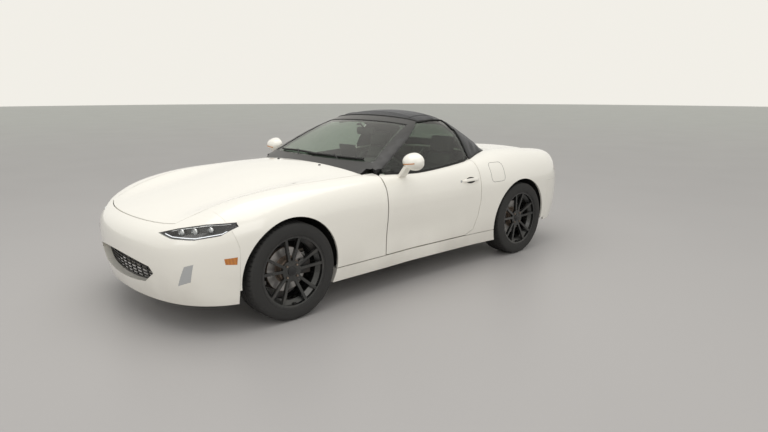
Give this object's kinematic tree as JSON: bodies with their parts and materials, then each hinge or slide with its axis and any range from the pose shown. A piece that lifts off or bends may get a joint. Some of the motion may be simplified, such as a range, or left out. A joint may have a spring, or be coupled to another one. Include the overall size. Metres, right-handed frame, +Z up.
{
  "type": "two-seat convertible roadster with a cloth top",
  "caption": "Small open two-seat sports car with its cloth top raised: hinged doors, bonnet and boot lid, steered front wheels and a furnished cabin.",
  "frame": {"origin": "on the ground, in the middle of the overall length and width", "axes": "+X forward, +Y to the car's left, +Z up"},
  "size_m": [3.9151, 1.927, 1.2233],
  "materials": {
    "body_paint": "pearl white clearcoat",
    "mirror_paint": "pearl white clearcoat",
    "frame_paint": "satin black",
    "dark_plastic": "grained",
    "lamp": "clear over dark",
    "glazing": "tinted",
    "hood_cloth": "woven",
    "seat_leather": "grained",
    "cabin_plastic": "grained",
    "structure_steel": "primer",
    "engine_alloy": "cast",
    "alloy": "plain",
    "chassis_iron": "black",
    "exhaust_steel": "heat-stained",
    "tyre": "moulded",
    "rim": "dark gunmetal",
    "disc_iron": "machined"
  },
  "bodies": {
    "chassis": {"floor_pan": "structure_steel", "front_structure": "structure_steel", "radiator": "alloy", "rear_structure": "structure_steel", "wheel_liners": "dark_plastic", "front_bumper": "body_paint", "grille": "dark_plastic", "headlamps": "lamp", "marker_lamps": "lamp", "front_wings": "body_paint", "sills": "dark_plastic", "rear_quarters": "body_paint", "tail_lamps": "lamp", "rear_bumper": "body_paint", "rear_deck": "body_paint", "cowl_panel": "dark_plastic", "windscreen_frame": "frame_paint", "windscreen": "glazing", "soft_top": "hood_cloth", "rear_window": "glazing", "seats": "seat_leather", "dashboard": "cabin_plastic", "centre_console": "cabin_plastic", "front_suspension": "chassis_iron", "rear_suspension": "chassis_iron", "rack_housing": "alloy", "engine": "engine_alloy", "driveline": "chassis_iron", "exhaust": "exhaust_steel"},
    "door_left": {"door_left": "body_paint", "door_glass_left": "glazing", "door_mirror_left": "mirror_paint"},
    "door_right": {"door_right": "body_paint", "door_glass_right": "glazing", "door_mirror_right": "mirror_paint"},
    "bonnet": {"bonnet": "body_paint"},
    "boot_lid": {"boot_lid": "body_paint"},
    "knuckle_left": {"knuckle_left": "chassis_iron"},
    "knuckle_right": {"knuckle_right": "chassis_iron"},
    "steering_wheel": {"steering_wheel": "cabin_plastic"},
    "steering_rack": {"steering_rack": "alloy"},
    "wheel_front_left": {"tyre_front_left": "tyre", "rim_front_left": "rim", "brake_disc_front_left": "disc_iron"},
    "wheel_front_right": {"tyre_front_right": "tyre", "rim_front_right": "rim", "brake_disc_front_right": "disc_iron"},
    "wheel_rear_left": {"tyre_rear_left": "tyre", "rim_rear_left": "rim", "brake_disc_rear_left": "disc_iron"},
    "wheel_rear_right": {"tyre_rear_right": "tyre", "rim_rear_right": "rim", "brake_disc_rear_right": "disc_iron"}
  },
  "joints": [
    {"name": "steer_left", "type": "hinge", "parent": "chassis", "child": "knuckle_left", "pos_m": [1.2025, 0.69, 0.308], "axis": [0, 0, 1], "range_deg": [-33, 33]},
    {"name": "steer_right", "type": "hinge", "parent": "chassis", "child": "knuckle_right", "pos_m": [1.2025, -0.69, 0.308], "axis": [0, 0, 1], "range_deg": [-33, 33]},
    {"name": "steering_wheel_turn", "type": "hinge", "parent": "chassis", "child": "steering_wheel", "pos_m": [-0.052, 0.385, 0.718], "axis": [-0.9135, 0, 0.4067], "range_deg": [-495, 495]},
    {"name": "rack_slide", "type": "slide", "parent": "chassis", "child": "steering_rack", "axis": [0, 1, 0], "range_m": [-0.066, 0.066]},
    {"name": "wheel_front_left_spin", "type": "hinge", "parent": "knuckle_left", "child": "wheel_front_left", "pos_m": [1.2025, 0.7475, 0.308], "axis": [0, 1, 0], "continuous": true},
    {"name": "wheel_front_right_spin", "type": "hinge", "parent": "knuckle_right", "child": "wheel_front_right", "pos_m": [1.2025, -0.7475, 0.308], "axis": [0, 1, 0], "continuous": true},
    {"name": "wheel_rear_left_spin", "type": "hinge", "parent": "chassis", "child": "wheel_rear_left", "pos_m": [-1.1075, 0.7525, 0.308], "axis": [0, 1, 0], "continuous": true},
    {"name": "wheel_rear_right_spin", "type": "hinge", "parent": "chassis", "child": "wheel_rear_right", "pos_m": [-1.1075, -0.7525, 0.308], "axis": [0, 1, 0], "continuous": true},
    {"name": "door_left_hinge", "type": "hinge", "parent": "chassis", "child": "door_left", "pos_m": [0.361, 0.775, 0.54], "axis": [0, 0, -1], "range_deg": [0, 65]},
    {"name": "door_right_hinge", "type": "hinge", "parent": "chassis", "child": "door_right", "pos_m": [0.361, -0.775, 0.54], "axis": [0, 0, 1], "range_deg": [0, 65]},
    {"name": "bonnet_hinge", "type": "hinge", "parent": "chassis", "child": "bonnet", "pos_m": [0.45907, 0, 0.7785], "axis": [0, -1, 0], "range_deg": [0, 45]},
    {"name": "boot_lid_hinge", "type": "hinge", "parent": "chassis", "child": "boot_lid", "pos_m": [-1.0955, 0, 0.83301], "axis": [0, 1, 0], "range_deg": [0, 72]}
  ],
  "couplings": [
    {"joint": "steer_right", "follows": "steer_left", "ratio": 1},
    {"joint": "steering_wheel_turn", "follows": "steer_left", "ratio": 15},
    {"joint": "rack_slide", "follows": "steer_left", "m_per_rad": 0.1136}
  ]
}
